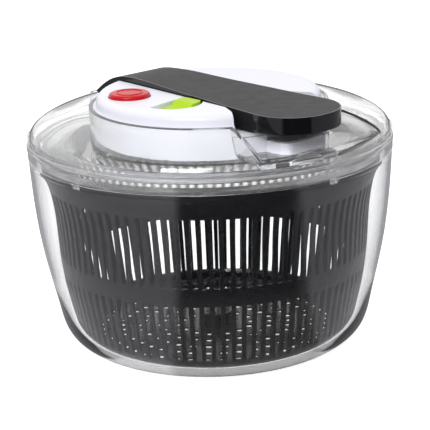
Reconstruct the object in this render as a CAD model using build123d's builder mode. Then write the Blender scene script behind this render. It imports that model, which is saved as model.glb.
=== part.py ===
"""Lever-driven salad spinner: clear bowl, slotted basket, clear lid and a geared press drive.

Millimetres, +Z up. The origin is the centre of the bowl's foot, and +X points to the lever's grip.
"""

import os
from math import acos, atan2, cos, hypot, pi, radians, sin, sqrt, tan

from build123d import *

os.makedirs("parts", exist_ok=True)

# ---------------------------------------------------------------- driving dimensions
GAP = 0.3  # clearance between pieces that move past each other
RUNNING = 0.05  # radial clearance of a shaft in its bore

# bowl
BOWL_WALL = 2.4
BOWL_FLOOR = 3.0
BOWL_STEP_Z = 142.0
BOWL_TOP_Z = 150.2
BOWL_RIM_R = 126.8
POST_R = 5.0
POST_TOP_Z = 15.7

# basket
BASKET_BASE_Z = 8.5
BASKET_TOP_Z = 141.0
BASKET_WALL = 2.2
BASKET_FLOOR = 1.4
SLOT_COUNT = 96
SLOT_WIDTH = 3.9

# lid
LID_R = 130.0
LID_WALL = 2.3
FLANGE_TOP_Z = 155.0
SKIRT_BOTTOM_Z = BOWL_STEP_Z + GAP
COLLAR_R = 84.5
COLLAR_TOP_Z = 176.0
CUP_FLOOR_Z = 150.8
CUP_FLOOR_TOP = 153.0
CUP_BORE_R = 82.3
SCOOP_FLOOR_Z = 156.8
SCOOP_HALF_WIDTH = 38.0  # at its rear end, X = SCOOP_REAR_X
SCOOP_REAR_X = 65.0
SCOOP_SPREAD = 0.36  # half width gained per mm towards the rim
SCOOP_TAPER = 10.0
SCOOP_FILLET = 4.0
RIM_INNER_R = 118.0
RIM_TOP_Z = 161.0

# drive housing
BASE_R = 81.8
BASE_WALL = 2.0
BASE_Z = 155.0
FLOOR_TOP = 157.0
CAP_R = 80.0
CAP_TOP_Z = 184.5
DECK_Z = 170.0
NOSE_X = 98.0
NOSE_TOP_Z = 164.7
NOSE_HALF_WIDTH = 20.0
LUG_X = 104.0
LUG_TOP_Z = 171.0
LUG_HALF_WIDTH = 23.0
POCKET_WALL = 2.2

# lever
HINGE_X = -82.0
HINGE_Z = 172.5
PIN_R = 2.5
GRIP_X = 115.2
GRIP_SHOULDER_X = 84.0
GRIP_CORNER_R = 30.0
GRIP_BOTTOM_Z = 172.2
CHANNEL_FLOOR_Z = 177.6
CHANNEL_END_X = 51.0
CHANNEL_GAP = 1.2
NOTCH_SPREAD = 0.488  # the notch under the grip widens by this much per mm
LEVER_SKIN = 2.4

# gear train, module 1
PRESSURE = radians(20)
SECTOR_TEETH = 23
PINION_TEETH = 12
FIRST_TEETH = 44
SECOND_TEETH = 36
BACKLASH = 0.22
RACK_PITCH_Z = HINGE_Z - SECTOR_TEETH / 2
RACK_PITCH_Y = 4.0
RACK_BOTTOM_Z = 157.4
AXLE_R = 2.0
SHAFT_R = 3.0
FIRST_X = -34.0
PLATE_Z = 171.5
PLATE_TOP = 173.0
PILLARS = [(-60, 13), (-20, -18), (17, -8), (14, 38), (-34, 38)]

# stop button and lock
BUTTON_X = -25.0
BUTTON_Y = -51.6
BUTTON_R = 14.5
BUTTON_TOP_Z = 187.4
LOCK_X = 14.0
LOCK_Y = -45.0
LOCK_R = 20.0
LOCK_TRAVEL = 8.0

# fasteners, bushes and the pour lip
SCREWS = [(-52, 44), (-52, -44), (50, 47), (50, -47)]
SCREW_R = 1.6
PLUNGER_R = 3.0
EAR_Y = 14.0
EAR_THICK = 3.0
LUG_Y = 9.5
LUG_THICK = 4.2
BAR_LOW_Y = -5.0
BAR_HIGH_Y = 2.9
BUSH_R = 5.0
PAD_R = 7.0
POUR_LIP_ANGLE = radians(-12)
POUR_LIP_R = 125.4
POUR_LIP_AT = (POUR_LIP_R * cos(POUR_LIP_ANGLE), POUR_LIP_R * sin(POUR_LIP_ANGLE), 156)
POUR_LIP_OUT = (cos(POUR_LIP_ANGLE), sin(POUR_LIP_ANGLE), 0)
POUR_LIP_SIDE = (-sin(POUR_LIP_ANGLE), cos(POUR_LIP_ANGLE), 0)

KEY_AT = (-78.5, 177.3)
KEY_R = 1.5
LEVER_SCREWS = [(-40, 0), (20, 0), (92, 0)]
LEVER_SCREW_LOW = [180.2, 180.2, 174.2]
LEVER_BOSS_TOP = [186.4, 184.4, 182.4]

FIRST_AT = (FIRST_X, RACK_PITCH_Y + PINION_TEETH / 2)


def second_axle_place():
    """Where the second axle stands, so that both of its meshes have their true centre distance."""
    to_first = (FIRST_TEETH + PINION_TEETH) / 2
    to_output = (SECOND_TEETH + PINION_TEETH) / 2
    span = hypot(*FIRST_AT)
    along = (to_output**2 - to_first**2 + span**2) / (2 * span)
    across = sqrt(to_output**2 - along**2)
    ux, uy = FIRST_AT[0] / span, FIRST_AT[1] / span
    return (ux * along + uy * across, uy * along - ux * across)


SECOND_AT = second_axle_place()


# ---------------------------------------------------------------- shared helpers
def involute(angle):
    return tan(angle) - angle


def gear_points(teeth, phase, addendum=0.85, dedendum=1.2):
    """Outline of an involute spur gear of module 1; one tooth is centred on the angle phase."""
    pitch_r = teeth / 2
    base_r = pitch_r * cos(PRESSURE)
    root_r = pitch_r - dedendum
    half_at_pitch = pi / (2 * teeth) - BACKLASH / (2 * pitch_r)
    tip_r = pitch_r + addendum
    start_r = max(base_r, root_r)
    radii = [root_r, start_r + 0.01, (start_r + pitch_r) / 2, pitch_r, (pitch_r + tip_r) / 2, tip_r]

    def half_angle(radius):
        angle = acos(min(1.0, base_r / max(radius, start_r)))
        return half_at_pitch + involute(PRESSURE) - involute(angle)

    points = []
    for tooth in range(teeth):
        middle = phase + 2 * pi * tooth / teeth
        for radius in radii:
            turn = middle - half_angle(radius)
            points.append((radius * cos(turn), radius * sin(turn)))
        for radius in reversed(radii):
            turn = middle + half_angle(radius)
            points.append((radius * cos(turn), radius * sin(turn)))
    return points


def meshed_phase(teeth, phase, place, mate_teeth, mate_place):
    """Phase of a mating gear whose gap faces the first gear's tooth on the line of centres."""
    line = atan2(mate_place[1] - place[1], mate_place[0] - place[0])
    lead = (line - phase) * teeth / (2 * pi)
    return line + pi - (0.5 - lead) * 2 * pi / mate_teeth


def rack_points(start, count, reach, body):
    """Outline of rack teeth along the first axis; teeth point to plus on the second axis."""
    half = pi / 4 - BACKLASH / 2
    slope = tan(PRESSURE)
    tip, root = reach + 0.7, reach - 1.1
    points = [(start - pi / 2 - 1.5, body), (start - pi / 2 - 1.5, root)]
    for tooth in range(count):
        middle = start + tooth * pi
        points.append((middle - half - 1.1 * slope, root))
        points.append((middle - half + 0.7 * slope, tip))
        points.append((middle + half - 0.7 * slope, tip))
        points.append((middle + half + 1.1 * slope, root))
    end = start + (count - 1) * pi + pi / 2 + 1.5
    points += [(end, root), (end, body)]
    return points


def lever_half_width(x):
    """The lever widens evenly from the hinge to the grip."""
    return 22 + (x + 55) * (32.8 - 22) / 140


# ---------------------------------------------------------------- bowl
def bowl_wall(inset, base_z):
    """Closed half section under the bowl's wall, moved in by inset."""
    with BuildSketch(Plane.XZ) as section:
        with BuildLine():
            foot = Line((0, base_z), (84 - inset, base_z))
            wall = Spline(
                foot @ 1,
                (93.5 - inset, base_z + 3.6),
                (106 - inset, base_z + 13),
                (113.4 - inset, 34 + inset * 0.3),
                (121.4 - inset, 70),
                (127.4 - inset, 115),
                (129.2 - inset, BOWL_STEP_Z),
            )
            Polyline(wall @ 1, (0, BOWL_STEP_Z), (0, base_z))
        make_face()
    return section.sketch


with BuildPart() as bowl:
    revolve(bowl_wall(0, 0), axis=Axis.Z)
    revolve(bowl_wall(BOWL_WALL, BOWL_FLOOR), axis=Axis.Z, mode=Mode.SUBTRACT)
    with BuildSketch(Plane.XY.offset(BOWL_STEP_Z - 3)):
        Circle(BOWL_RIM_R + 1)
        Circle(BOWL_RIM_R - BOWL_WALL, mode=Mode.SUBTRACT)
    extrude(amount=3)
    with BuildSketch(Plane.XY.offset(BOWL_STEP_Z)):
        Circle(BOWL_RIM_R)
        Circle(BOWL_RIM_R - BOWL_WALL, mode=Mode.SUBTRACT)
    extrude(amount=BOWL_TOP_Z - BOWL_STEP_Z)
    with BuildSketch(Plane.XY.offset(BOWL_FLOOR)):
        Circle(POST_R + 4)
    extrude(amount=2.5, taper=30)
    with BuildSketch(Plane.XY.offset(BOWL_FLOOR)):
        Circle(POST_R)
    extrude(amount=POST_TOP_Z - BOWL_FLOOR)
    post_rim = bowl.edges().filter_by(GeomType.CIRCLE).sort_by(lambda e: abs(e.center().Z - POST_TOP_Z))[0]
    fillet(post_rim, 2)


# ---------------------------------------------------------------- basket
def basket_wall(inset, base_z):
    """Closed half section under the basket's wall, moved in by inset."""
    with BuildSketch(Plane.XZ) as section:
        with BuildLine():
            floor = Line((0, base_z), (88 - inset, base_z))
            wall = Spline(
                floor @ 1,
                (97.5 - inset, base_z + 2.8),
                (104.5 - inset, 31.5),
                (110.5 - inset, 68),
                (113.2 - inset, 105),
                (116.2 - inset, 121.5),
            )
            collar = Spline(wall @ 1, (118.2 - inset, 127.5), (120.5 - inset, 134.5))
            Polyline(collar @ 1, (120.5 - inset, BASKET_TOP_Z), (0, BASKET_TOP_Z), (0, base_z))
        make_face()
    return section.sketch


with BuildPart() as basket:
    revolve(basket_wall(0, BASKET_BASE_Z), axis=Axis.Z)
    revolve(basket_wall(BASKET_WALL, BASKET_BASE_Z + BASKET_FLOOR), axis=Axis.Z, mode=Mode.SUBTRACT)
    with BuildSketch(Plane.XY.offset(BASKET_BASE_Z)):
        Circle(13)
    extrude(amount=11.5, taper=8)
    with BuildSketch(Plane.XY.offset(BASKET_BASE_Z)):
        Circle(POST_R + RUNNING)
    extrude(amount=POST_TOP_Z - BASKET_BASE_Z + GAP, mode=Mode.SUBTRACT)
    with BuildSketch(Plane.XY.offset(73)):
        with PolarLocations(107, SLOT_COUNT):
            Rectangle(30, SLOT_WIDTH)
    extrude(amount=49.5, mode=Mode.SUBTRACT)
    with BuildSketch(Plane.XY.offset(18)):
        with PolarLocations(104, SLOT_COUNT):
            Rectangle(24, SLOT_WIDTH)
    extrude(amount=42, mode=Mode.SUBTRACT)
    with BuildSketch(Plane.XY.offset(BASKET_BASE_Z - 1)):
        for ring, holes in ((26, 14), (40, 22), (54, 30), (68, 38), (82, 46)):
            with PolarLocations(ring, holes):
                Circle(3.2)
    extrude(amount=BASKET_FLOOR + 2, mode=Mode.SUBTRACT)
    with BuildSketch(Plane.XY.offset(BASKET_TOP_Z - 4)):
        with PolarLocations(119.4, 4):
            Rectangle(8, 9)
    extrude(amount=6, mode=Mode.SUBTRACT)


# ---------------------------------------------------------------- spinning cover and its hub
COVER_Z = BASKET_TOP_Z + GAP

with BuildPart() as spinning_cover:
    with BuildSketch(Plane.XZ):
        with BuildLine():
            Polyline(
                (16.2, COVER_Z + 0.3),
                (92, COVER_Z + 0.3),
                (102, 147.6),
                (115.6, 147.6),
                (115.6, COVER_Z - 3),
                (117.4, COVER_Z - 3),
                (117.4, COVER_Z),
                (121, COVER_Z),
                (123.4, 146.8),
                (123.4, 152.4),
                (121.4, 152.4),
                (121.4, 149.4),
                (101, 149.4),
                (91, COVER_Z + 2.1),
                (16.2, COVER_Z + 2.1),
                close=True,
            )
        make_face()
    revolve(axis=Axis.Z)
    with BuildSketch(Plane.XY.offset(BASKET_TOP_Z - 3.4)):
        with PolarLocations(118.6, 4):
            Rectangle(3.4, 8)
    extrude(amount=5)
    with BuildSketch(Plane.XY.offset(COVER_Z)):
        with PolarLocations(22, 3):
            Circle(1.3)
    extrude(amount=4, mode=Mode.SUBTRACT)

with BuildPart() as output_hub:
    with BuildSketch(Plane.XY.offset(COVER_Z + 2.1)):
        Circle(27)
    extrude(amount=2)
    with BuildSketch(Plane.XY.offset(COVER_Z - 3)):
        Circle(16)
    extrude(amount=6)
    with BuildSketch(Plane.XY.offset(COVER_Z + 3)):
        Circle(9)
    extrude(amount=5)
    with BuildSketch(Plane.XY.offset(COVER_Z - 4)):
        Circle(SHAFT_R)
    extrude(amount=20, mode=Mode.SUBTRACT)
    with BuildSketch(Plane.XY.offset(COVER_Z)):
        with PolarLocations(22, 3):
            Circle(1.3)
    extrude(amount=6, mode=Mode.SUBTRACT)

with BuildPart() as hub_screws:
    with BuildSketch(Plane.XY.offset(COVER_Z - 1.3)):
        with PolarLocations(22, 3):
            Circle(2.6)
    extrude(amount=1.6)
    with BuildSketch(Plane.XY.offset(COVER_Z + 0.3)):
        with PolarLocations(22, 3):
            Circle(1.3)
    extrude(amount=3.8)

with BuildPart() as hub_nut:
    with BuildSketch(Plane.XY.offset(COVER_Z - 6)):
        RegularPolygon(5.5, 6)
    extrude(amount=3)
    with BuildSketch(Plane.XY.offset(COVER_Z - 7)):
        Circle(SHAFT_R)
    extrude(amount=5, mode=Mode.SUBTRACT)

with BuildPart() as output_shaft:
    with BuildSketch(Plane.XY.offset(COVER_Z - 7)):
        Circle(SHAFT_R)
    extrude(amount=PLATE_TOP - 0.2 - (COVER_Z - 7))
    chamfer(output_shaft.edges().group_by(Axis.Z)[-1], 0.6)


# ---------------------------------------------------------------- lid
def dome_section(inset):
    """Half section under the lid's outer skin, moved in by inset."""
    bottom = SKIRT_BOTTOM_Z - inset
    with BuildSketch(Plane.XZ) as section:
        with BuildLine():
            shoulder = Line(
                (LID_R - 1.8 - inset, 155 - inset),
                (LID_R - 2.2 - inset, 157.6 - inset * 0.4),
            )
            dome = Spline(
                shoulder @ 1,
                (125.2 - inset * 0.8, 161.6 - inset * 0.6),
                (119.5 - inset * 0.5, 165.6 - inset * 0.9),
                (110 - inset * 0.3, 169.6 - inset),
                (97, 173.4 - inset),
                (COLLAR_R, COLLAR_TOP_Z - inset),
            )
            top = Line(dome @ 1, (0, COLLAR_TOP_Z - inset))
            Polyline(top @ 1, (0, bottom), (LID_R - 1.8 - inset, bottom), shoulder @ 0)
        make_face()
    return section.sketch


def cup_outline(grow):
    """Plan of the cup that holds the drive: a circle with the nose and the hinge lug, grown evenly."""
    Circle(CUP_BORE_R + grow)
    nose = NOSE_X + 0.5 + grow
    with Locations((nose / 2, 0)):
        RectangleRounded(nose, 2 * (NOSE_HALF_WIDTH + 0.5 + grow), 6 + grow)


def lug_outline(grow):
    """Plan of the hinge lug's pocket."""
    reach = LUG_X + 0.4 + grow
    with Locations((-reach / 2, 0)):
        RectangleRounded(reach, 2 * (LUG_HALF_WIDTH + 0.4 + grow), 5 + grow)


def scoop_space(grow):
    """Space of the finger scoop in front of the drive, a trough that widens towards the rim."""
    floor_z = SCOOP_FLOOR_Z - grow
    near = SCOOP_HALF_WIDTH + grow
    far = near + SCOOP_SPREAD * (LID_R + 20 - SCOOP_REAR_X)
    with BuildPart() as space:
        with BuildSketch(Plane.XY.offset(floor_z)):
            Polygon(
                (SCOOP_REAR_X, -near),
                (LID_R + 20, -far),
                (LID_R + 20, far),
                (SCOOP_REAR_X, near),
                align=None,
            )
        extrude(amount=30, taper=-SCOOP_TAPER)
        low = space.edges().filter_by(lambda e: abs(e.center().Z - floor_z) < 0.01)
        fillet(low.filter_by(lambda e: abs(e.center().Y) > 1), SCOOP_FILLET + grow)
    return space.part


with BuildPart() as rim_keeper:
    with BuildSketch(Plane.XY.offset(SCOOP_FLOOR_Z - 10)):
        Circle(LID_R + 20)
        Circle(RIM_INNER_R, mode=Mode.SUBTRACT)
    extrude(amount=10 + RIM_TOP_Z - SCOOP_FLOOR_Z)

with BuildPart() as scoop:
    add(scoop_space(0))
    add(rim_keeper.part, mode=Mode.SUBTRACT)

with BuildPart() as rim_keeper_inner:
    with BuildSketch(Plane.XY.offset(SCOOP_FLOOR_Z - 12)):
        Circle(LID_R + 20)
        Circle(RIM_INNER_R + LID_WALL, mode=Mode.SUBTRACT)
    extrude(amount=12 + RIM_TOP_Z - LID_WALL - SCOOP_FLOOR_Z)

with BuildPart() as scoop_skin:
    add(scoop_space(LID_WALL))
    add(rim_keeper_inner.part, mode=Mode.SUBTRACT)

with BuildPart() as lid_underside:
    revolve(dome_section(LID_WALL), axis=Axis.Z)
    with BuildSketch(Plane.XY.offset(SKIRT_BOTTOM_Z - 5)):
        Circle(LID_R)
        Circle(BOWL_RIM_R + GAP, mode=Mode.SUBTRACT)
    extrude(amount=30, mode=Mode.SUBTRACT)
    add(scoop_skin.part, mode=Mode.SUBTRACT)
    with BuildSketch(Plane.XY.offset(CUP_FLOOR_Z)):
        cup_outline(POCKET_WALL)
        lug_outline(POCKET_WALL)
    extrude(amount=40, mode=Mode.SUBTRACT)

with BuildPart() as lid_shell:
    revolve(dome_section(0), axis=Axis.Z)
    with BuildSketch(Plane.XY.offset(148.7)):
        Circle(LID_R)
    extrude(amount=FLANGE_TOP_Z - 148.7)
    with BuildSketch(Plane.XY.offset(SKIRT_BOTTOM_Z)):
        Circle(LID_R - 0.5)
    extrude(amount=8)
    add(scoop.part, mode=Mode.SUBTRACT)
    with BuildSketch(Plane.XY.offset(CUP_FLOOR_Z)):
        Circle(COLLAR_R)
    extrude(amount=168 - CUP_FLOOR_Z)
    with BuildSketch(Plane.XY.offset(CUP_FLOOR_Z)):
        cup_outline(POCKET_WALL)
    extrude(amount=NOSE_TOP_Z - CUP_FLOOR_Z)
    with BuildSketch(Plane.XY.offset(CUP_FLOOR_Z)):
        lug_outline(POCKET_WALL)
    extrude(amount=LUG_TOP_Z + 0.6 - CUP_FLOOR_Z)
    with BuildSketch(Plane.XY.offset(CUP_FLOOR_TOP)):
        cup_outline(0)
        lug_outline(0)
    extrude(amount=40, mode=Mode.SUBTRACT)
    with BuildSketch(Plane.XY.offset(SKIRT_BOTTOM_Z - 1)):
        Circle(BOWL_RIM_R + GAP)
    extrude(amount=BOWL_TOP_Z + GAP - SKIRT_BOTTOM_Z + 1, mode=Mode.SUBTRACT)
    add(lid_underside.part, mode=Mode.SUBTRACT)
    with BuildSketch(Plane.XY.offset(CUP_FLOOR_TOP)):
        with Locations(SCREWS):
            Circle(5)
    extrude(amount=BASE_Z - CUP_FLOOR_TOP)
    with BuildSketch(Plane.XY.offset(CUP_FLOOR_Z - 1)):
        Circle(BUSH_R)
        with Locations((BUTTON_X, BUTTON_Y)):
            Circle(PLUNGER_R + 0.4)
        with Locations(SCREWS):
            Circle(SCREW_R)
    extrude(amount=10, mode=Mode.SUBTRACT)
    with BuildSketch(Plane(origin=POUR_LIP_AT, x_dir=POUR_LIP_SIDE, z_dir=POUR_LIP_OUT)):
        Ellipse(13, 8)
        with Locations((0, -8)):
            Rectangle(40, 16, mode=Mode.SUBTRACT)
    extrude(amount=1.8)


# ---------------------------------------------------------------- drive housing
def base_plan(shrink):
    """Plan of the housing base: circle, nose and hinge lug, moved in by shrink."""
    Circle(BASE_R - shrink)
    nose = NOSE_X - shrink
    with Locations((nose / 2, 0)):
        RectangleRounded(nose, 2 * (NOSE_HALF_WIDTH - shrink), 6 - shrink)
    reach = LUG_X - shrink
    with Locations((-reach / 2, 0)):
        RectangleRounded(reach, 2 * (LUG_HALF_WIDTH - shrink), 5 - shrink)


def channel_outline(grow):
    """Plan of the lever's channel across the housing, following the lever's taper."""
    rear, front = -90, CHANNEL_END_X + grow
    narrow = lever_half_width(-60) + CHANNEL_GAP + grow
    wide = lever_half_width(front) + CHANNEL_GAP + grow
    Polygon(
        (rear, -narrow),
        (-60, -narrow),
        (front, -wide),
        (front, wide),
        (-60, narrow),
        (rear, narrow),
        align=None,
    )


def hinge_plate(foot_z):
    """Side view of an ear or lug: a disc round the hinge pin on a post down to foot_z."""
    with BuildSketch(Plane.XZ) as plate:
        with Locations((HINGE_X, HINGE_Z)):
            Circle(5.5)
        with Locations((HINGE_X, (HINGE_Z + foot_z) / 2)):
            Rectangle(11, HINGE_Z - foot_z)
    return plate.sketch


def grip_notch(grow):
    """Plan of the deeper notch under the grip end of the lever."""
    rear = CHANNEL_END_X - grow
    near = lever_half_width(CHANNEL_END_X) + CHANNEL_GAP + 0.6 * grow
    far = near + NOTCH_SPREAD * (LID_R - rear)
    Polygon((rear, -near), (LID_R, -far), (LID_R, far), (rear, near), align=None)


def cap_section(shrink):
    """Half section of the white cap, moved in by shrink."""
    top = CAP_TOP_Z - shrink
    with BuildSketch(Plane.XZ) as section:
        with BuildLine():
            Line((0, COLLAR_TOP_Z), (CAP_R - shrink, COLLAR_TOP_Z))
            Line((CAP_R - shrink, COLLAR_TOP_Z), (CAP_R - 0.6 - shrink, top - 5))
            ThreePointArc(
                (CAP_R - 0.6 - shrink, top - 5),
                (CAP_R - 2.4 - shrink, top - 1.7),
                (CAP_R - 7, top),
            )
            Polyline((CAP_R - 7, top), (0, top), (0, COLLAR_TOP_Z))
        make_face()
    return section.sketch


with BuildSketch() as notch_plan:
    grip_notch(BASE_WALL)
notch_block = notch_plan.sketch

with BuildPart() as housing_base:
    with BuildSketch(Plane.XY.offset(BASE_Z)):
        base_plan(0)
    extrude(amount=NOSE_TOP_Z - BASE_Z)
    with BuildSketch(Plane.XY.offset(BASE_Z)):
        Circle(BASE_R)
    extrude(amount=COLLAR_TOP_Z - BASE_Z)
    with BuildSketch(Plane.XY.offset(BASE_Z)):
        with Locations((-(LUG_X + 60) / 2, 0)):
            RectangleRounded(LUG_X - 60, 2 * LUG_HALF_WIDTH, 5)
    extrude(amount=LUG_TOP_Z - BASE_Z)
    with BuildSketch(Plane.XY.offset(DECK_Z)):
        grip_notch(0)
    extrude(amount=10, mode=Mode.SUBTRACT)
    with BuildSketch(Plane.XY.offset(FLOOR_TOP)):
        Circle(BASE_R - BASE_WALL)
        with Locations((-(LUG_X - BASE_WALL) / 2, 0)):
            RectangleRounded(LUG_X - BASE_WALL, 2 * (LUG_HALF_WIDTH - BASE_WALL), 1.2)
        add(notch_block, mode=Mode.SUBTRACT)
    extrude(amount=40, mode=Mode.SUBTRACT)
    with BuildSketch(Plane.XY.offset(FLOOR_TOP)):
        grip_notch(0)
        with Locations((CHANNEL_END_X, 0)):
            Rectangle(12, 40)
        Circle(BASE_R - BASE_WALL, mode=Mode.INTERSECT)
    extrude(amount=DECK_Z - 2 - FLOOR_TOP, mode=Mode.SUBTRACT)
    with BuildSketch(Plane.XY.offset(FLOOR_TOP)):
        with Locations((NOSE_X - 14, 0)):
            RectangleRounded(24, 2 * (NOSE_HALF_WIDTH - BASE_WALL), 4)
    extrude(amount=NOSE_TOP_Z - 2 - FLOOR_TOP, mode=Mode.SUBTRACT)
    with BuildSketch(Plane.XY.offset(FLOOR_TOP)):
        with Locations(PILLARS):
            Circle(3.2)
    extrude(amount=PLATE_Z - FLOOR_TOP)
    with BuildSketch(Plane.XY.offset(FLOOR_TOP)):
        with Locations(SCREWS):
            Circle(4)
    extrude(amount=9)
    with BuildSketch(Plane.XY.offset(FLOOR_TOP)):
        with Locations((BUTTON_X, BUTTON_Y)):
            Circle(5.6)
    extrude(amount=8)
    for side in (1, -1):
        ear = extrude(hinge_plate(FLOOR_TOP), amount=EAR_THICK / 2, both=True, mode=Mode.PRIVATE)
        with Locations((0, side * (EAR_Y + EAR_THICK / 2), 0)):
            add(ear)
        with Locations((-62, side * 5.15 - 1.05, 158.75)):
            Box(20, 1.7, 3.5)
    with BuildSketch(Plane.XZ):
        with Locations((HINGE_X, HINGE_Z)):
            Circle(PIN_R)
    extrude(amount=EAR_Y + EAR_THICK, both=True, mode=Mode.SUBTRACT)
    with BuildSketch(Plane.XY.offset(BASE_Z - 1)):
        Circle(BUSH_R)
        with Locations((BUTTON_X, BUTTON_Y)):
            Circle(PLUNGER_R + 0.4)
        with Locations(SCREWS):
            Circle(SCREW_R)
    extrude(amount=14, mode=Mode.SUBTRACT)
    with BuildSketch(Plane.XY.offset(PLATE_Z - 9)):
        with Locations(PILLARS):
            Circle(1.1)
    extrude(amount=9, mode=Mode.SUBTRACT)
    with BuildSketch(Plane.XY.offset(FLOOR_TOP - 1)):
        with Locations(FIRST_AT, SECOND_AT):
            Circle(AXLE_R)
    extrude(amount=2, mode=Mode.SUBTRACT)


def lock_recess(grow):
    """Half-disc recess of the lock, its straight side slanted towards the lever."""
    with Locations((LOCK_X, LOCK_Y)):
        Circle(LOCK_R + grow)
    edge = [(12.5 - grow, -70), (12.5 - grow, -65), (4.5 - grow, -20), (-20, -20), (-20, -70)]
    Polygon(*edge, align=None, mode=Mode.SUBTRACT)


with BuildPart() as cap_hollow:
    revolve(cap_section(2), axis=Axis.Z)
    with BuildSketch(Plane.XY.offset(COLLAR_TOP_Z)):
        channel_outline(1.6)
        grip_notch(1.6)
    extrude(amount=10, mode=Mode.SUBTRACT)

with BuildPart() as housing_cover:
    revolve(cap_section(0), axis=Axis.Z)
    add(cap_hollow.part, mode=Mode.SUBTRACT)
    with BuildSketch(Plane.XY.offset(178)):
        lock_recess(1.5)
    extrude(amount=5)
    with BuildSketch(Plane.XY.offset(166)):
        with Locations(SCREWS):
            Circle(4)
    extrude(amount=17)
    with BuildSketch(Plane.XY.offset(CHANNEL_FLOOR_Z)):
        channel_outline(0)
    extrude(amount=10, mode=Mode.SUBTRACT)
    with BuildSketch(Plane.XY.offset(COLLAR_TOP_Z)):
        grip_notch(0)
        with Locations((-82, 0)):
            Rectangle(36, 2 * (lever_half_width(-60) + CHANNEL_GAP))
        with Locations((BUTTON_X, BUTTON_Y)):
            Circle(BUTTON_R + 0.5)
    extrude(amount=10, mode=Mode.SUBTRACT)
    with BuildSketch(Plane.XY.offset(179.6)):
        lock_recess(0)
    extrude(amount=10, mode=Mode.SUBTRACT)
    with BuildSketch(Plane.XY.offset(165)):
        with Locations(SCREWS):
            Circle(SCREW_R)
    extrude(amount=15, mode=Mode.SUBTRACT)

with BuildPart() as hinge_pin:
    with BuildSketch(Plane.XZ):
        with Locations((HINGE_X, HINGE_Z)):
            Circle(PIN_R)
    extrude(amount=EAR_Y + EAR_THICK + 0.8, both=True)

with BuildPart() as housing_screws:
    with BuildSketch(Plane.XY.offset(CUP_FLOOR_Z)):
        with Locations(SCREWS):
            Circle(SCREW_R)
    extrude(amount=27)
    with BuildSketch(Plane.XY.offset(CUP_FLOOR_Z)):
        with Locations(SCREWS):
            Circle(3)
    extrude(amount=-1.8)

with BuildPart() as gear_plate:
    with BuildSketch(Plane.XY.offset(PLATE_Z)):
        with Locations(PILLARS):
            Circle(5)
        make_hull()
        Circle(4.6, mode=Mode.SUBTRACT)
        with Locations(FIRST_AT, SECOND_AT):
            Circle(AXLE_R, mode=Mode.SUBTRACT)
        with Locations(PILLARS):
            Circle(1.1, mode=Mode.SUBTRACT)
    extrude(amount=PLATE_TOP - PLATE_Z)

with BuildPart() as gear_plate_screws:
    with BuildSketch(Plane.XY.offset(PLATE_TOP)):
        with Locations(PILLARS):
            Circle(2.3)
    extrude(amount=1.5)
    with BuildSketch(Plane.XY.offset(PLATE_TOP)):
        with Locations(PILLARS):
            Circle(1.1)
    extrude(amount=-8)

with BuildPart() as shaft_bushes:
    with BuildSketch(Plane.XY.offset(CUP_FLOOR_Z)):
        Circle(BUSH_R)
        Circle(SHAFT_R + RUNNING, mode=Mode.SUBTRACT)
    extrude(amount=6.4)
    with BuildSketch(Plane.XY.offset(PLATE_Z)):
        Circle(4.6)
        Circle(SHAFT_R + RUNNING, mode=Mode.SUBTRACT)
    extrude(amount=PLATE_TOP - PLATE_Z)

with BuildPart() as first_axle:
    with BuildSketch(Plane.XY.offset(FLOOR_TOP - 1)):
        with Locations(FIRST_AT):
            Circle(AXLE_R)
    extrude(amount=PLATE_TOP - FLOOR_TOP + 1)

with BuildPart() as second_axle:
    with BuildSketch(Plane.XY.offset(FLOOR_TOP - 1)):
        with Locations(SECOND_AT):
            Circle(AXLE_R)
    extrude(amount=PLATE_TOP - FLOOR_TOP + 1)


# ---------------------------------------------------------------- gear train
FIRST_PHASE = -pi / 2
FIRST_WHEEL_PHASE = 0.0
SECOND_PINION_PHASE = meshed_phase(FIRST_TEETH, FIRST_WHEEL_PHASE, FIRST_AT, PINION_TEETH, SECOND_AT)
SECOND_WHEEL_PHASE = 0.0
OUTPUT_PHASE = meshed_phase(SECOND_TEETH, SECOND_WHEEL_PHASE, SECOND_AT, PINION_TEETH, (0, 0))


def gear_face(teeth, phase, place, z):
    """Face of a gear, ready to extrude."""
    with BuildSketch(Plane.XY.offset(z)) as face:
        with BuildLine(Location((place[0], place[1], 0))):
            Polyline(*gear_points(teeth, phase), close=True)
        make_face()
    return face.sketch


def bored(place, radius, low):
    """Ring face of a hub round an axle."""
    with BuildSketch(Plane.XY.offset(low)) as ring:
        with Locations(place):
            Circle(radius)
    return ring.sketch


with BuildPart() as first_gear:
    extrude(gear_face(PINION_TEETH, FIRST_PHASE, FIRST_AT, 157.7), amount=5.2)
    extrude(gear_face(FIRST_TEETH, FIRST_WHEEL_PHASE, FIRST_AT, 162.9), amount=3.1)
    extrude(bored(FIRST_AT, 4, 166), amount=5.1)
    extrude(bored(FIRST_AT, AXLE_R + RUNNING, 157), amount=15, mode=Mode.SUBTRACT)

with BuildPart() as second_gear:
    extrude(gear_face(PINION_TEETH, SECOND_PINION_PHASE, SECOND_AT, 162.5), amount=4.1)
    extrude(gear_face(SECOND_TEETH, SECOND_WHEEL_PHASE, SECOND_AT, 166.6), amount=3)
    extrude(bored(SECOND_AT, 4, 157.3), amount=13.8)
    extrude(bored(SECOND_AT, AXLE_R + RUNNING, 157), amount=15, mode=Mode.SUBTRACT)

with BuildPart() as clutch_pinion:
    with BuildSketch(Plane.XY.offset(159.4)):
        Circle(8.6)
        with PolarLocations(8.0, 3):
            Circle(2.1, mode=Mode.SUBTRACT)
    extrude(amount=4)
    extrude(bored((0, 0), 4.6, 163.4), amount=3)
    extrude(gear_face(PINION_TEETH, OUTPUT_PHASE, (0, 0), 166.4), amount=4)
    extrude(bored((0, 0), SHAFT_R + RUNNING, 159), amount=12, mode=Mode.SUBTRACT)

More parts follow.
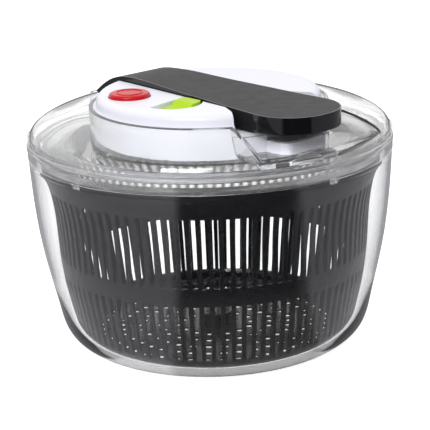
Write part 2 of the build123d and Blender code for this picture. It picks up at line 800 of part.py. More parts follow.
with BuildPart() as clutch_rollers:
    with BuildSketch(Plane.XY.offset(159.5)):
        with PolarLocations(7.6, 3):
            Circle(1.5)
    extrude(amount=3.8)

with BuildPart() as clutch_cup:
    with BuildSketch(Plane.XY.offset(157.5)):
        Circle(11.6)
    extrude(amount=6.1)
    with BuildSketch(Plane.XY.offset(159)):
        Circle(9.6)
    extrude(amount=6, mode=Mode.SUBTRACT)
    with BuildSketch(Plane.XY.offset(157)):
        Circle(SHAFT_R)
    extrude(amount=6, mode=Mode.SUBTRACT)

with BuildPart() as shaft_clip:
    with BuildSketch(Plane.XY.offset(170.7)):
        Circle(4.8)
        Circle(SHAFT_R, mode=Mode.SUBTRACT)
        with Locations((4, 0)):
            Rectangle(4, 2, mode=Mode.SUBTRACT)
    extrude(amount=0.5)

with BuildPart() as drive_rack:
    with BuildSketch(Plane.XZ.offset(-BAR_HIGH_Y)):
        with BuildLine():
            Polyline(*rack_points(HINGE_X - 3.5 * pi, 6, RACK_PITCH_Z, RACK_BOTTOM_Z), close=True)
        make_face()
    extrude(amount=BAR_HIGH_Y - BAR_LOW_Y)
    with BuildSketch(Plane.XY.offset(RACK_BOTTOM_Z)):
        with Locations((-60.5, (BAR_HIGH_Y + BAR_LOW_Y) / 2)):
            Rectangle(31, BAR_HIGH_Y - BAR_LOW_Y)
    extrude(amount=2.5)
    with BuildSketch(Plane.XY.offset(RACK_BOTTOM_Z)):
        with BuildLine():
            Polyline(*rack_points(FIRST_X - 3.5 * pi, 6, RACK_PITCH_Y, BAR_LOW_Y), close=True)
        make_face()
    extrude(amount=3.6)
    with BuildSketch(Plane.XY.offset(RACK_BOTTOM_Z)):
        with Locations((-46.5, -9)):
            Rectangle(2.4, 9)
    extrude(amount=5)

with BuildPart() as return_spring:
    with BuildLine() as coil:
        Helix(pitch=1.9, height=22.8, radius=2.4, center=(-71.5, -10.5, 160.4), direction=(1, 0, 0))
    with BuildSketch(Plane(origin=coil.line @ 0, z_dir=coil.line % 0)):
        Circle(0.4)
    sweep(path=coil.line)


# ---------------------------------------------------------------- lever
LEVER_TOP = [
    (-101.6, 172.3),
    (-92.4, 179.0),
    (-83, 184.0),
    (-72, 187.2),
    (-58, 188.4),
    (-11, 186.9),
    (25, 185.7),
    (57, 184.6),
    (85, 184.0),
]
LEVER_BOTTOM = [
    (62, GRIP_BOTTOM_Z),
    (54, 178.2),
    (-66, 178.2),
    (-70, 182.6),
    (-76, 182.3),
    (-86.6, 177.7),
    (-97.4, 171.9),
]


def lever_plan(shrink):
    """Plan of the lever: narrow at the hinge, wide and rounded at the grip."""
    rear, front = LEVER_TOP[0][0] + shrink, GRIP_X - shrink
    wide = lever_half_width(GRIP_SHOULDER_X) - shrink
    with BuildSketch(Plane.XY.offset(160)) as plan:
        with BuildLine():
            Polyline(
                (rear, -20.3 + shrink),
                (-80, -20.5 + shrink),
                (-58, -lever_half_width(-58) + shrink),
                (GRIP_SHOULDER_X, -wide),
                (front, -wide),
                (front, wide),
                (GRIP_SHOULDER_X, wide),
                (-58, lever_half_width(-58) - shrink),
                (-80, 20.5 - shrink),
                (rear, 20.3 - shrink),
                close=True,
            )
        make_face()
        fillet(plan.vertices().group_by(Axis.X)[-1], GRIP_CORNER_R - shrink)
    return plan.sketch


def lever_side(drop):
    """Side view of the lever; its top is lowered by drop."""
    with BuildSketch(Plane.XZ) as side:
        with BuildLine():
            back = Spline(*[(x, z - drop) for x, z in LEVER_TOP], (GRIP_X, 183.6 - drop))
            front = Line(back @ 1, (GRIP_X, GRIP_BOTTOM_Z))
            under = Polyline(front @ 1, *LEVER_BOTTOM)
            Line(under @ 1, back @ 0)
        make_face()
    return side.sketch


def skin_side(drop):
    """Side view of the space above the lever's top, lowered by drop."""
    with BuildSketch(Plane.XZ) as side:
        with BuildLine():
            line = Spline(*[(x, z - drop) for x, z in LEVER_TOP], (GRIP_X, 183.6 - drop))
            Polyline(line @ 1, (GRIP_X, 200), (-112, 200), (-112, 172.3 - drop), line @ 0)
        make_face()
    return side.sketch


with BuildPart() as cover_space:
    extrude(lever_plan(0.9), amount=40)
    extrude(skin_side(2), amount=50, both=True, mode=Mode.INTERSECT)

with BuildPart() as lever_frame:
    extrude(lever_plan(0), amount=40)
    extrude(lever_side(0), amount=50, both=True, mode=Mode.INTERSECT)
    add(cover_space.part, mode=Mode.SUBTRACT)
    with BuildSketch(Plane.XY.offset(180.2)):
        with BuildLine():
            Polyline(
                (-66, -lever_half_width(-66) + LEVER_SKIN),
                (54, -lever_half_width(54) + LEVER_SKIN),
                (54, lever_half_width(54) - LEVER_SKIN),
                (-66, lever_half_width(-66) - LEVER_SKIN),
                close=True,
            )
        make_face()
    extrude(amount=10, mode=Mode.SUBTRACT)
    with BuildSketch(Plane.XY.offset(GRIP_BOTTOM_Z + 2)) as grip_hollow:
        with BuildLine():
            Polyline(
                (64, -28.6),
                (GRIP_SHOULDER_X, -30.3),
                (GRIP_X - LEVER_SKIN, -30.3),
                (GRIP_X - LEVER_SKIN, 30.3),
                (GRIP_SHOULDER_X, 30.3),
                (64, 28.6),
                close=True,
            )
        make_face()
        fillet(grip_hollow.vertices().group_by(Axis.X)[-1], GRIP_CORNER_R - LEVER_SKIN)
    extrude(amount=20, mode=Mode.SUBTRACT)
    for side in (1, -1):
        with BuildSketch(Plane.XZ.offset(-side * (LUG_Y + LUG_THICK / 2))):
            with Locations((HINGE_X, HINGE_Z)):
                Circle(5.5)
            with BuildLine():
                Polyline((-87.4, 172.5), (-76.5, 172.5), (-72, 184.5), (-86, 180.2), close=True)
            make_face()
        extrude(amount=LUG_THICK / 2, both=True)
    with BuildSketch(Plane.XZ):
        with Locations((HINGE_X, HINGE_Z)):
            Circle(PIN_R + RUNNING)
        with Locations(KEY_AT):
            Circle(KEY_R)
    extrude(amount=LUG_Y + LUG_THICK + 1, both=True, mode=Mode.SUBTRACT)
    with BuildSketch(Plane.XY.offset(GRIP_BOTTOM_Z - 1)):
        with Locations(LEVER_SCREWS):
            Circle(1.2)
    extrude(amount=20, mode=Mode.SUBTRACT)

with BuildPart() as lever_cover:
    extrude(lever_plan(0.9 + 0.1), amount=40)
    extrude(lever_side(0), amount=50, both=True, mode=Mode.INTERSECT)
    extrude(skin_side(1.95), amount=50, both=True, mode=Mode.INTERSECT)
    for place, low, top in zip(LEVER_SCREWS, LEVER_SCREW_LOW, LEVER_BOSS_TOP):
        with BuildSketch(Plane.XY.offset(low)):
            with Locations(place):
                Circle(3.2)
        extrude(amount=top - low)
        with BuildSketch(Plane.XY.offset(low - 1)):
            with Locations(place):
                Circle(1.2)
        extrude(amount=3.6, mode=Mode.SUBTRACT)

with BuildPart() as lever_screws:
    for place, low in zip(LEVER_SCREWS, LEVER_SCREW_LOW):
        with BuildSketch(Plane.XY.offset(low - 2)):
            with Locations(place):
                Circle(1.2)
        extrude(amount=4.6)

with BuildPart() as drive_sector:
    with BuildSketch(Plane.XZ):
        with BuildLine(Location((HINGE_X, HINGE_Z, 0))):
            Polyline(*gear_points(SECTOR_TEETH, -pi / 2, addendum=0.75), close=True)
        make_face()
        with BuildLine(Location((HINGE_X, HINGE_Z, 0))):
            Polyline((0, 0), (8, -22), (-14, -22), (-20, -16), close=True)
        make_face(mode=Mode.INTERSECT)
    extrude(amount=3.5, both=True)
    with BuildSketch(Plane.XZ):
        with Locations((HINGE_X, HINGE_Z)):
            Circle(5)
        with Locations(KEY_AT):
            Circle(2.9)
        make_hull()
    extrude(amount=LUG_Y - 0.3, both=True)
    with BuildSketch(Plane.XZ):
        with Locations((HINGE_X, HINGE_Z)):
            Circle(PIN_R + RUNNING)
        with Locations(KEY_AT):
            Circle(KEY_R)
    extrude(amount=LUG_Y + 1, both=True, mode=Mode.SUBTRACT)

with BuildPart() as sector_key:
    with BuildSketch(Plane.XZ):
        with Locations(KEY_AT):
            Circle(KEY_R)
    extrude(amount=LUG_Y + LUG_THICK - 0.2, both=True)


# ---------------------------------------------------------------- stop button, brake and lock
with BuildPart() as stop_button:
    with BuildSketch(Plane.XY.offset(181.9)):
        with Locations((BUTTON_X, BUTTON_Y)):
            Circle(BUTTON_R)
    extrude(amount=BUTTON_TOP_Z - 181.9)
    fillet(stop_button.edges().group_by(Axis.Z)[-1], 2)
    with BuildSketch(Plane.XY.offset(180)):
        with Locations((BUTTON_X, BUTTON_Y)):
            Circle(BUTTON_R + 2)
    extrude(amount=1.9)
    with BuildSketch(Plane.XY.offset(175.5)):
        with Locations((BUTTON_X, BUTTON_Y)):
            Circle(4.2)
    extrude(amount=5)

with BuildPart() as brake_plunger:
    with BuildSketch(Plane.XY.offset(150.4)):
        with Locations((BUTTON_X, BUTTON_Y)):
            Circle(PLUNGER_R)
    extrude(amount=175.5 - 150.4)

with BuildPart() as brake_pad:
    with BuildSketch(Plane.XY.offset(147)):
        with Locations((BUTTON_X, BUTTON_Y)):
            Circle(PAD_R)
    extrude(amount=3.4)
    fillet(brake_pad.edges().group_by(Axis.Z)[0], 0.8)

with BuildPart() as stop_spring:
    with BuildLine() as stop_coil:
        Helix(pitch=2.8, height=14, radius=5, center=(BUTTON_X, BUTTON_Y, 165.5))
    with BuildSketch(Plane(origin=stop_coil.line @ 0, z_dir=stop_coil.line % 0)):
        Circle(0.4)
    sweep(path=stop_coil.line)

with BuildPart() as lock_slider:
    with BuildSketch(Plane.XY.offset(179.9)):
        with Locations((14.5, -41)):
            Circle(15.2)
        straight_side = [(14.9, -70), (14.9, -65), (6.9, -20), (-20, -20), (-20, -70)]
        Polygon(*straight_side, align=None, mode=Mode.SUBTRACT)
        with Locations((14.5, -20)):
            Rectangle(60, 19.6, mode=Mode.SUBTRACT)
    extrude(amount=6)
    with BuildSketch(Plane.YZ):
        with BuildLine():
            Polyline(
                (-62, 181.8),
                (-44, 182.4),
                (-41, 185.4),
                (-20, 184.9),
                (-20, 190),
                (-62, 190),
                close=True,
            )
        make_face()
    extrude(amount=60, mode=Mode.SUBTRACT)


# ---------------------------------------------------------------- write the pieces
PIECES = {
    "bowl": bowl,
    "basket": basket,
    "spinning_cover": spinning_cover,
    "output_hub": output_hub,
    "hub_screws": hub_screws,
    "hub_nut": hub_nut,
    "output_shaft": output_shaft,
    "shaft_clip": shaft_clip,
    "clutch_cup": clutch_cup,
    "lid_shell": lid_shell,
    "housing_base": housing_base,
    "housing_cover": housing_cover,
    "housing_screws": housing_screws,
    "hinge_pin": hinge_pin,
    "gear_plate": gear_plate,
    "gear_plate_screws": gear_plate_screws,
    "shaft_bushes": shaft_bushes,
    "first_axle": first_axle,
    "second_axle": second_axle,
    "return_spring": return_spring,
    "stop_spring": stop_spring,
    "lever_frame": lever_frame,
    "lever_cover": lever_cover,
    "lever_screws": lever_screws,
    "drive_sector": drive_sector,
    "sector_key": sector_key,
    "drive_rack": drive_rack,
    "first_gear": first_gear,
    "second_gear": second_gear,
    "clutch_pinion": clutch_pinion,
    "clutch_rollers": clutch_rollers,
    "stop_button": stop_button,
    "brake_plunger": brake_plunger,
    "brake_pad": brake_pad,
    "lock_slider": lock_slider,
}

for name, piece in PIECES.items():
    piece.part.label = name
    export_step(piece.part, f"parts/{name}.step")
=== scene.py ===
"""Looks of the salad spinner: clear bowl and lid, black basket, white drive housing, black lever."""

from math import cos, pi, radians, sin

import bpy
import numpy as np
from mathutils import Matrix, Vector

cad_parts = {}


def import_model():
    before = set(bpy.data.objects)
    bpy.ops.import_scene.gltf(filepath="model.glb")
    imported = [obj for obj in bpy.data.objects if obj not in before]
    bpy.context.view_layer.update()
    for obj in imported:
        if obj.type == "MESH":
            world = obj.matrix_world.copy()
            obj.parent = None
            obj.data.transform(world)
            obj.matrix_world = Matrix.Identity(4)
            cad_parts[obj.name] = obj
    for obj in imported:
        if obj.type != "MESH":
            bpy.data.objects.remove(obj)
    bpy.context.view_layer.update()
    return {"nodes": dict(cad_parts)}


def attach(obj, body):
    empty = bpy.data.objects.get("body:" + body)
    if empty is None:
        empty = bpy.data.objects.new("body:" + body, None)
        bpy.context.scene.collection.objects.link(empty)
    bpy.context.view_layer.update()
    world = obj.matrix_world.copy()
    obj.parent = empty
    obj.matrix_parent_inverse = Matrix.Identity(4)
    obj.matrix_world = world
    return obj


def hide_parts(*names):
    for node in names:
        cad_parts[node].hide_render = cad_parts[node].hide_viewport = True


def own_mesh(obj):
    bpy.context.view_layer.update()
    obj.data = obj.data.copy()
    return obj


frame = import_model()
nodes = frame["nodes"]
scene = bpy.context.scene

# ---------------------------------------------------------------- view and light
CAMERA_DISTANCE = 1.3
CAMERA_AZIMUTH = radians(-42)
CAMERA_ELEVATION = radians(16.3)
CAMERA_ROLL = radians(1.95)
CAMERA_LENS = 151.1
CAMERA_SENSOR = 36
CAMERA_SHIFT = (0.006, -0.006)
CAMERA_TARGET = Vector((0, 0, 0.0935))
CAMERA_CLIP = 50
FLOOR_HALF = 6.0
FLOOR_DROP = 0.0002  # how far the floor lies below the foot, so that the two do not flicker
FLOOR_GLOW = 0.88
PAINTED_SHADE_SECTOR = 15  # middle of the floor's painted shade sector (near black, seen only in reflections), degrees to the camera's right


# ---------------------------------------------------------------- node helpers
def new_material(name):
    material = bpy.data.materials.new(name)
    material.use_nodes = True
    return material, material.node_tree, material.node_tree.nodes["Principled BSDF"]


def noise(tree, scale, detail=3.0, stretch=(1, 1, 1)):
    """Noise in the object's own coordinates; scale counts cells per metre."""
    place = tree.nodes.new("ShaderNodeTexCoord")
    mapping = tree.nodes.new("ShaderNodeMapping")
    mapping.inputs["Scale"].default_value = stretch
    texture = tree.nodes.new("ShaderNodeTexNoise")
    texture.inputs["Scale"].default_value = scale
    texture.inputs["Detail"].default_value = detail
    tree.links.new(place.outputs["Object"], mapping.inputs["Vector"])
    tree.links.new(mapping.outputs["Vector"], texture.inputs["Vector"])
    return texture.outputs["Fac"]


def remap(tree, value, low, high):
    """Value stretched from its middle range to low..high."""
    node = tree.nodes.new("ShaderNodeMapRange")
    node.inputs["From Min"].default_value = 0.3
    node.inputs["From Max"].default_value = 0.7
    node.inputs["To Min"].default_value = low
    node.inputs["To Max"].default_value = high
    tree.links.new(value, node.inputs["Value"])
    return node.outputs["Result"]


def colour_between(tree, value, first, second):
    node = tree.nodes.new("ShaderNodeMix")
    node.data_type = "RGBA"
    node.inputs["A"].default_value = (*first, 1)
    node.inputs["B"].default_value = (*second, 1)
    tree.links.new(value, node.inputs["Factor"])
    return node.outputs["Result"]


def ramp_of(tree, value, start, end, low, high):
    """Value eased from low at start to high at end."""
    node = tree.nodes.new("ShaderNodeMapRange")
    node.interpolation_type = "SMOOTHSTEP"
    node.inputs["From Min"].default_value = start
    node.inputs["From Max"].default_value = end
    node.inputs["To Min"].default_value = low
    node.inputs["To Max"].default_value = high
    tree.links.new(value, node.inputs["Value"])
    return node.outputs["Result"]


def math_node(tree, operation, first, second):
    """Result of a sum on two sockets; the second may be a number."""
    node = tree.nodes.new("ShaderNodeMath")
    node.operation = operation
    tree.links.new(first, node.inputs[0])
    if isinstance(second, bpy.types.NodeSocket):
        tree.links.new(second, node.inputs[1])
    else:
        node.inputs[1].default_value = second
    return node.outputs["Value"]


def vector_node(tree, operation, output, vector, fixed=(0, 0, 0)):
    """Result of an operation on a vector and, where it takes two, a fixed one."""
    node = tree.nodes.new("ShaderNodeVectorMath")
    node.operation = operation
    node.inputs[1].default_value = fixed
    tree.links.new(vector, node.inputs[0])
    return node.outputs[output]


def bump(tree, shader, height, strength, distance):
    node = tree.nodes.new("ShaderNodeBump")
    node.inputs["Strength"].default_value = strength
    node.inputs["Distance"].default_value = distance
    tree.links.new(height, node.inputs["Height"])
    tree.links.new(node.outputs["Normal"], shader.inputs["Normal"])


# ---------------------------------------------------------------- materials
CLEAR_IOR = 1.49
SHADOW_TINT = (0.92, 0.92, 0.92, 1)  # what a clear wall lets through to its shadow


def moulded(name, colour, variation, rough, grain, grain_size, metallic=0.0, specular=0.5):
    """Moulded or machined surface: two close colours, uneven gloss and a fine grain."""
    material, tree, shader = new_material(name)
    shader.inputs["Metallic"].default_value = metallic
    shader.inputs["Specular IOR Level"].default_value = specular
    tone = remap(tree, noise(tree, 35), 0, 1)
    second = tuple(max(0.0, c * (1 - variation)) for c in colour)
    tree.links.new(colour_between(tree, tone, colour, second), shader.inputs["Base Color"])
    tree.links.new(remap(tree, noise(tree, 120, 4), *rough), shader.inputs["Roughness"])
    bump(tree, shader, noise(tree, 1 / grain_size, 2), grain, grain_size * 0.2)
    return material


def clear_plastic(name, tint, waviness, rough=(0.0, 0.03), clarity=1.0):
    """Clear moulded plastic with faint flow waves and handling marks; lamps pass through it."""
    material, tree, shader = new_material(name)
    shader.inputs["Base Color"].default_value = (*tint, 1)
    shader.inputs["Transmission Weight"].default_value = clarity
    shader.inputs["IOR"].default_value = CLEAR_IOR
    tree.links.new(remap(tree, noise(tree, 60, 5), *rough), shader.inputs["Roughness"])
    bump(tree, shader, noise(tree, 45, 1, (1, 1, 0.35)), waviness, 0.0006)
    path = tree.nodes.new("ShaderNodeLightPath")
    through = tree.nodes.new("ShaderNodeBsdfTransparent")
    through.inputs["Color"].default_value = SHADOW_TINT
    mix = tree.nodes.new("ShaderNodeMixShader")
    output = tree.nodes["Material Output"]
    tree.links.new(path.outputs["Is Shadow Ray"], mix.inputs["Fac"])
    tree.links.new(shader.outputs["BSDF"], mix.inputs[1])
    tree.links.new(through.outputs["BSDF"], mix.inputs[2])
    tree.links.new(mix.outputs["Shader"], output.inputs["Surface"])
    return material


CLEAR = clear_plastic("clear_bowl", (0.995, 0.996, 0.996), 0.004)
CLEAR_LID = clear_plastic("clear_lid", (0.995, 0.997, 1.0), 0.02, clarity=0.988)
CLEAR_COVER = clear_plastic("clear_cover", (0.99, 0.99, 0.99), 0.04, (0.05, 0.1), clarity=0.965)
BASKET = moulded("basket_black", (0.014, 0.014, 0.016), 0.2, (0.12, 0.2), 0.03, 0.0012)
WHITE_CAP = moulded("cap_white", (0.83, 0.83, 0.915), 0.01, (0.32, 0.42), 0.03, 0.0009)
WHITE_BASE = moulded("base_white", (0.76, 0.77, 0.84), 0.015, (0.35, 0.5), 0.03, 0.0009)
BLACK_GLOSS = moulded("lever_gloss", (0.005, 0.005, 0.006), 0.2, (0.06, 0.12), 0.02, 0.0012)
DARK_MATTE = moulded("lever_matte", (0.014, 0.014, 0.015), 0.05, (0.4, 0.46), 0.05, 0.0003, specular=0.16)
RED = moulded("button_red", (0.58, 0.003, 0.009), 0.08, (0.22, 0.3), 0.02, 0.0008, specular=0.3)
GREEN = moulded("lock_green", (0.44, 0.68, 0.002), 0.06, (0.36, 0.46), 0.02, 0.0008, specular=0.3)
GEAR = moulded("gear_nylon", (0.78, 0.76, 0.7), 0.05, (0.4, 0.55), 0.08, 0.0006)
GREY = moulded("grey_plastic", (0.3, 0.3, 0.31), 0.1, (0.4, 0.5), 0.08, 0.0006)
RUBBER = moulded("pad_rubber", (0.03, 0.03, 0.032), 0.2, (0.7, 0.85), 0.3, 0.0004)
STEEL = moulded("steel", (0.62, 0.62, 0.64), 0.1, (0.2, 0.35), 0.08, 0.0004, metallic=1.0)
BRASS = moulded("brass", (0.72, 0.5, 0.2), 0.1, (0.25, 0.38), 0.08, 0.0004, metallic=1.0)

NODE_MATERIALS = {
    "bowl": CLEAR,
    "basket": BASKET,
    "spinning_cover": CLEAR_COVER,
    "output_hub": GREY,
    "hub_screws": STEEL,
    "hub_nut": STEEL,
    "output_shaft": STEEL,
    "shaft_clip": STEEL,
    "clutch_cup": STEEL,
    "lid_shell": CLEAR_LID,
    "housing_base": WHITE_BASE,
    "housing_cover": WHITE_CAP,
    "housing_screws": STEEL,
    "hinge_pin": STEEL,
    "gear_plate": GREY,
    "gear_plate_screws": STEEL,
    "shaft_bushes": BRASS,
    "first_axle": STEEL,
    "second_axle": STEEL,
    "return_spring": STEEL,
    "stop_spring": STEEL,
    "lever_frame": BLACK_GLOSS,
    "lever_cover": DARK_MATTE,
    "lever_screws": STEEL,
    "drive_sector": GEAR,
    "sector_key": STEEL,
    "drive_rack": GEAR,
    "first_gear": GEAR,
    "second_gear": GEAR,
    "clutch_pinion": GEAR,
    "clutch_rollers": STEEL,
    "stop_button": RED,
    "brake_plunger": GREY,
    "brake_pad": RUBBER,
    "lock_slider": GREEN,
}
for name, material in NODE_MATERIALS.items():
    slots = nodes[name].data.materials
    slots.clear()
    slots.append(material)


# ---------------------------------------------------------------- small visual pieces
ABOVE_ALL = 0.3  # a height above every piece, m


def ring(name, centre, radius, bead, around_count=96, across_count=10):
    """Thin bead lying flat round centre."""
    points = []
    for i in range(around_count):
        turn = 2 * pi * i / around_count
        for k in range(across_count):
            lift = 2 * pi * k / across_count
            reach = radius + bead * cos(lift)
            points.append((
                centre[0] + reach * cos(turn),
                centre[1] + reach * sin(turn),
                centre[2] + bead * sin(lift),
            ))
    faces = []
    for i in range(around_count):
        for k in range(across_count):
            after, up = (i + 1) % around_count, (k + 1) % across_count
            faces.append((
                i * across_count + k,
                after * across_count + k,
                after * across_count + up,
                i * across_count + up,
            ))
    mesh = bpy.data.meshes.new(name)
    mesh.from_pydata(points, [], faces)
    mesh.shade_smooth()
    item = bpy.data.objects.new(name, mesh)
    scene.collection.objects.link(item)
    return item


def top_of(node, x, y):
    """Height of that CAD node's upper surface at x, y."""
    place = nodes[node].ray_cast(Vector((x, y, ABOVE_ALL)), Vector((0, 0, -1)))[1]
    return place.z


def fitted(item, body, material):
    """Give a visual piece its material, and let it ride on a body."""
    item.data.materials.append(material)
    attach(item, body)


BUTTON_CENTRE = (-0.025, -0.0516)
BUTTON_RING_R = 0.0092
BUTTON_RING_BEAD = 0.0005

button_top = top_of("stop_button", BUTTON_CENTRE[0] + BUTTON_RING_R, BUTTON_CENTRE[1])
button_ring = ring("button_ring", (*BUTTON_CENTRE, button_top), BUTTON_RING_R, BUTTON_RING_BEAD)
fitted(button_ring, "stop", RED)


coil = bpy.data.objects.new("button_coil", nodes["stop_spring"].data.copy())
scene.collection.objects.link(coil)
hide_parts("stop_spring")
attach(coil, "lid")
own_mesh(coil)


# ---------------------------------------------------------------- bowl, turned smoothly
SHARP_ANGLE = radians(28)
CURVE_POINTS = 160
TURN_STEPS = 256


def smooth_curve(points, count):
    """Points along a natural cubic spline through the given points."""
    place = np.array(points, dtype=float)
    last = len(place) - 1
    step = np.linalg.norm(np.diff(place, axis=0), axis=1)
    along = np.concatenate([[0], np.cumsum(step)])
    system = np.eye(last + 1)
    bend = np.zeros((last + 1, 2))
    for i in range(1, last):
        system[i, i - 1 : i + 2] = step[i - 1], 2 * (step[i - 1] + step[i]), step[i]
        after = (place[i + 1] - place[i]) / step[i]
        before = (place[i] - place[i - 1]) / step[i - 1]
        bend[i] = 6 * (after - before)
    bend = np.linalg.solve(system, bend)
    curve = []
    for t in np.linspace(0, along[-1], count):
        i = min(int(np.searchsorted(along, t, side="right")) - 1, last - 1)
        low, high = (along[i + 1] - t) / step[i], (t - along[i]) / step[i]
        curved = (low**3 - low) * bend[i] + (high**3 - high) * bend[i + 1]
        curve.append(tuple(low * place[i] + high * place[i + 1] + curved * step[i] ** 2 / 6))
    return curve


def turned(name, profile, around_count):
    """Surface turned about Z from (radius, height) pairs in mm that start and end on the axis."""
    points = [(0, 0, profile[0][1] / 1000)]
    for radius, height in profile[1:-1]:
        for i in range(around_count):
            turn = 2 * pi * i / around_count
            points.append((radius / 1000 * cos(turn), radius / 1000 * sin(turn), height / 1000))
    points.append((0, 0, profile[-1][1] / 1000))
    top = len(points) - 1
    rows = len(profile) - 2
    faces = []
    for i in range(around_count):
        after = (i + 1) % around_count
        faces.append((0, 1 + after, 1 + i))
        for row in range(rows - 1):
            low, high = 1 + row * around_count, 1 + (row + 1) * around_count
            faces.append((low + i, low + after, high + after, high + i))
        last = 1 + (rows - 1) * around_count
        faces.append((last + i, last + after, top))
    mesh = bpy.data.meshes.new(name)
    mesh.from_pydata(points, [], faces)
    mesh.shade_smooth()
    mesh.set_sharp_from_angle(angle=SHARP_ANGLE)
    item = bpy.data.objects.new(name, mesh)
    scene.collection.objects.link(item)
    return item


# all in mm
STEP_Z = 142
LEDGE_Z = 139
LEDGE_R = 126.6
RIM_Z = 150.2
RIM_R = 126.8
RIM_INNER_R = 124.4
BOWL_OUTSIDE = [
    (84, 0), (93.5, 3.6), (106, 13), (113.4, 34), (121.4, 70), (127.4, 115), (129.2, STEP_Z),
]
BOWL_INSIDE = [
    (81.6, 3), (91.1, 6.6), (103.6, 16), (111, 34.72), (119, 70), (125, 115), (126.8, STEP_Z),
]
POST = [
    (9, 3), (7.56, 5.5), (5, 5.5), (5, 13.7), (4.85, 14.47),
    (4.41, 15.11), (3.77, 15.55), (3, 15.7), (0, 15.7),
]

inside = [point for point in smooth_curve(BOWL_INSIDE, CURVE_POINTS) if point[1] < LEDGE_Z]
inside.append((LEDGE_R, LEDGE_Z))
bowl_profile = [
    (0, 0),
    *smooth_curve(BOWL_OUTSIDE, CURVE_POINTS),
    (RIM_R, STEP_Z),
    (RIM_R, RIM_Z),
    (RIM_INNER_R, RIM_Z),
    (RIM_INNER_R, LEDGE_Z),
    *reversed(inside),
    *POST,
]
smooth_bowl = turned("smooth_bowl", bowl_profile, TURN_STEPS)
smooth_bowl.data.materials.append(CLEAR)
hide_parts("bowl")
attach(smooth_bowl, "bowl_body")


# ---------------------------------------------------------------- stage
def unreflected(tree):
    """1 for what is seen directly or through clear plastic, 0 for what is seen by reflection."""
    path = tree.nodes.new("ShaderNodeLightPath")
    bounces = math_node(tree, "ADD", path.outputs["Diffuse Depth"], path.outputs["Glossy Depth"])
    return math_node(tree, "LESS_THAN", bounces, 0.5)


def around(angle, distance, height):
    """A place at that angle from the camera's side of the object, counted to the camera's right."""
    turn = CAMERA_AZIMUTH + radians(angle)
    return (distance * cos(turn), distance * sin(turn), height)


def inside_plastic(tree):
    """How much of the floor's glow a ray sees: all after two reflections, some inside the plastic."""
    path = tree.nodes.new("ShaderNodeLightPath")
    twice = ramp_of(tree, path.outputs["Glossy Depth"], 1.4, 1.6, 0, 1)
    within = ramp_of(tree, path.outputs["Transmission Depth"], 2.4, 2.6, 1, 0)
    entered = ramp_of(tree, path.outputs["Transmission Depth"], 0.4, 0.6, 0, 0.25)
    return math_node(tree, "MAXIMUM", twice, math_node(tree, "MULTIPLY", within, entered))


def floor_paper():
    """Glowing white where it is seen, grey where it is reflected, with painted shade (dark) in one sector
    and a painted glow under the object for rays inside the plastic.
    """
    material, tree, shader = new_material("floor_paper")
    shader.inputs["Base Color"].default_value = (0.6, 0.6, 0.6, 1)
    shader.inputs["Roughness"].default_value = 0.9
    shader.inputs["Specular IOR Level"].default_value = 0.1
    shader.inputs["Emission Color"].default_value = (1, 1, 1, 1)
    shader.inputs["Emission Strength"].default_value = FLOOR_GLOW
    place = tree.nodes.new("ShaderNodeTexCoord").outputs["Object"]
    reach = vector_node(tree, "LENGTH", "Value", place)
    under_object = ramp_of(tree, reach, 0.16, 0.22, 1, 0)
    heading = vector_node(tree, "NORMALIZE", "Vector", place)
    ahead = vector_node(tree, "DOT_PRODUCT", "Value", heading, around(PAINTED_SHADE_SECTOR, 1, 0))
    # painted shade: in this sector the floor is near black in reflections, standing in for unlit floor
    # before the object
    painted_shade_sector = ramp_of(tree, ahead, 0.79, 0.86, 0, 1)
    reflected = colour_between(tree, painted_shade_sector, (0.38, 0.38, 0.4), (0.012, 0.012, 0.012))
    dim = tree.nodes.new("ShaderNodeBsdfDiffuse")
    tree.links.new(reflected, dim.inputs["Color"])
    # painted glow: the floor under the object glows for rays inside the plastic and after two reflections
    painted_glow = math_node(tree, "MULTIPLY", under_object, inside_plastic(tree))
    mix = tree.nodes.new("ShaderNodeMixShader")
    tree.links.new(math_node(tree, "MAXIMUM", unreflected(tree), painted_glow), mix.inputs["Fac"])
    tree.links.new(dim.outputs["BSDF"], mix.inputs[1])
    tree.links.new(shader.outputs["BSDF"], mix.inputs[2])
    tree.links.new(mix.outputs["Shader"], tree.nodes["Material Output"].inputs["Surface"])
    return material


def floor():
    """Plain pale floor under the object and far beyond it."""
    mesh = bpy.data.meshes.new("floor")
    half = FLOOR_HALF
    corners = [(-half, -half, 0), (half, -half, 0), (half, half, 0), (-half, half, 0)]
    mesh.from_pydata(corners, [], [(0, 1, 2, 3)])
    plane = bpy.data.objects.new("floor", mesh)
    plane.location.z = -FLOOR_DROP
    scene.collection.objects.link(plane)
    mesh.materials.append(floor_paper())


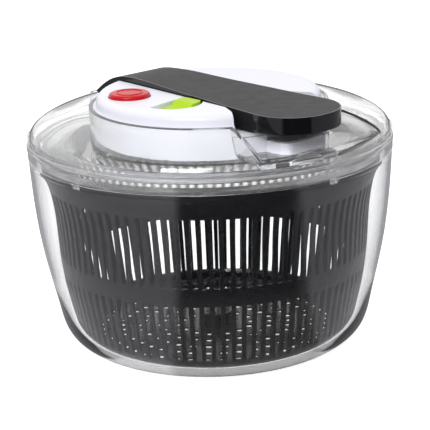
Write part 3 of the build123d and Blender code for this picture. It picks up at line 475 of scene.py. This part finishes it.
def soft_box(name, place, aim, width, height, power):
    light = bpy.data.lights.new(name, "AREA")
    light.shape = "RECTANGLE"
    light.size = width
    light.size_y = height
    light.energy = power
    lamp = bpy.data.objects.new(name, light)
    scene.collection.objects.link(lamp)
    lamp.location = place
    lamp.rotation_euler = (Vector(aim) - Vector(place)).to_track_quat("-Z", "Y").to_euler()


def world():
    """White behind, soft light above, dark towards the camera, and white where the camera sees it."""
    scene.world = bpy.data.worlds.new("studio")
    scene.world.use_nodes = True
    tree = scene.world.node_tree
    heading = tree.nodes.new("ShaderNodeTexCoord").outputs["Generated"]
    backward = (-cos(CAMERA_AZIMUTH), -sin(CAMERA_AZIMUTH), 0)
    behind = vector_node(tree, "DOT_PRODUCT", "Value", heading, backward)
    upward = vector_node(tree, "DOT_PRODUCT", "Value", heading, (0, 0, 1))
    back = ramp_of(tree, behind, -0.2, 0.35, 0.05, 1.0)
    above = ramp_of(tree, upward, 0.2, 0.6, 0.0, 0.8)
    through = ramp_of(tree, unreflected(tree), 0, 1, 0, 0.8)
    seen = tree.nodes.new("ShaderNodeLightPath").outputs["Is Camera Ray"]
    reflected = math_node(tree, "MAXIMUM", back, above)
    strength = math_node(tree, "MAXIMUM", reflected, math_node(tree, "MAXIMUM", seen, through))
    tree.links.new(strength, tree.nodes["Background"].inputs["Strength"])
    tree.nodes["Background"].inputs["Color"].default_value = (1, 1, 1, 1)


def camera():
    data = bpy.data.cameras.new("camera")
    data.lens = CAMERA_LENS
    data.sensor_width = CAMERA_SENSOR
    data.shift_x, data.shift_y = CAMERA_SHIFT
    data.clip_end = CAMERA_CLIP
    item = bpy.data.objects.new("camera", data)
    scene.collection.objects.link(item)
    flat = CAMERA_DISTANCE * cos(CAMERA_ELEVATION)
    offset = Vector((
        flat * cos(CAMERA_AZIMUTH),
        flat * sin(CAMERA_AZIMUTH),
        CAMERA_DISTANCE * sin(CAMERA_ELEVATION),
    ))
    turn = (-offset).to_track_quat("-Z", "Y").to_matrix().to_4x4()
    place = Matrix.Translation(CAMERA_TARGET + offset)
    item.matrix_world = place @ turn @ Matrix.Rotation(-CAMERA_ROLL, 4, "Z")
    scene.camera = item


floor()
world()
camera()
soft_box("front_box", around(-18, 1.2, 1.1), (0, 0, 0.1), 0.7, 0.7, 13.5)
scene.view_settings.view_transform = "Standard"
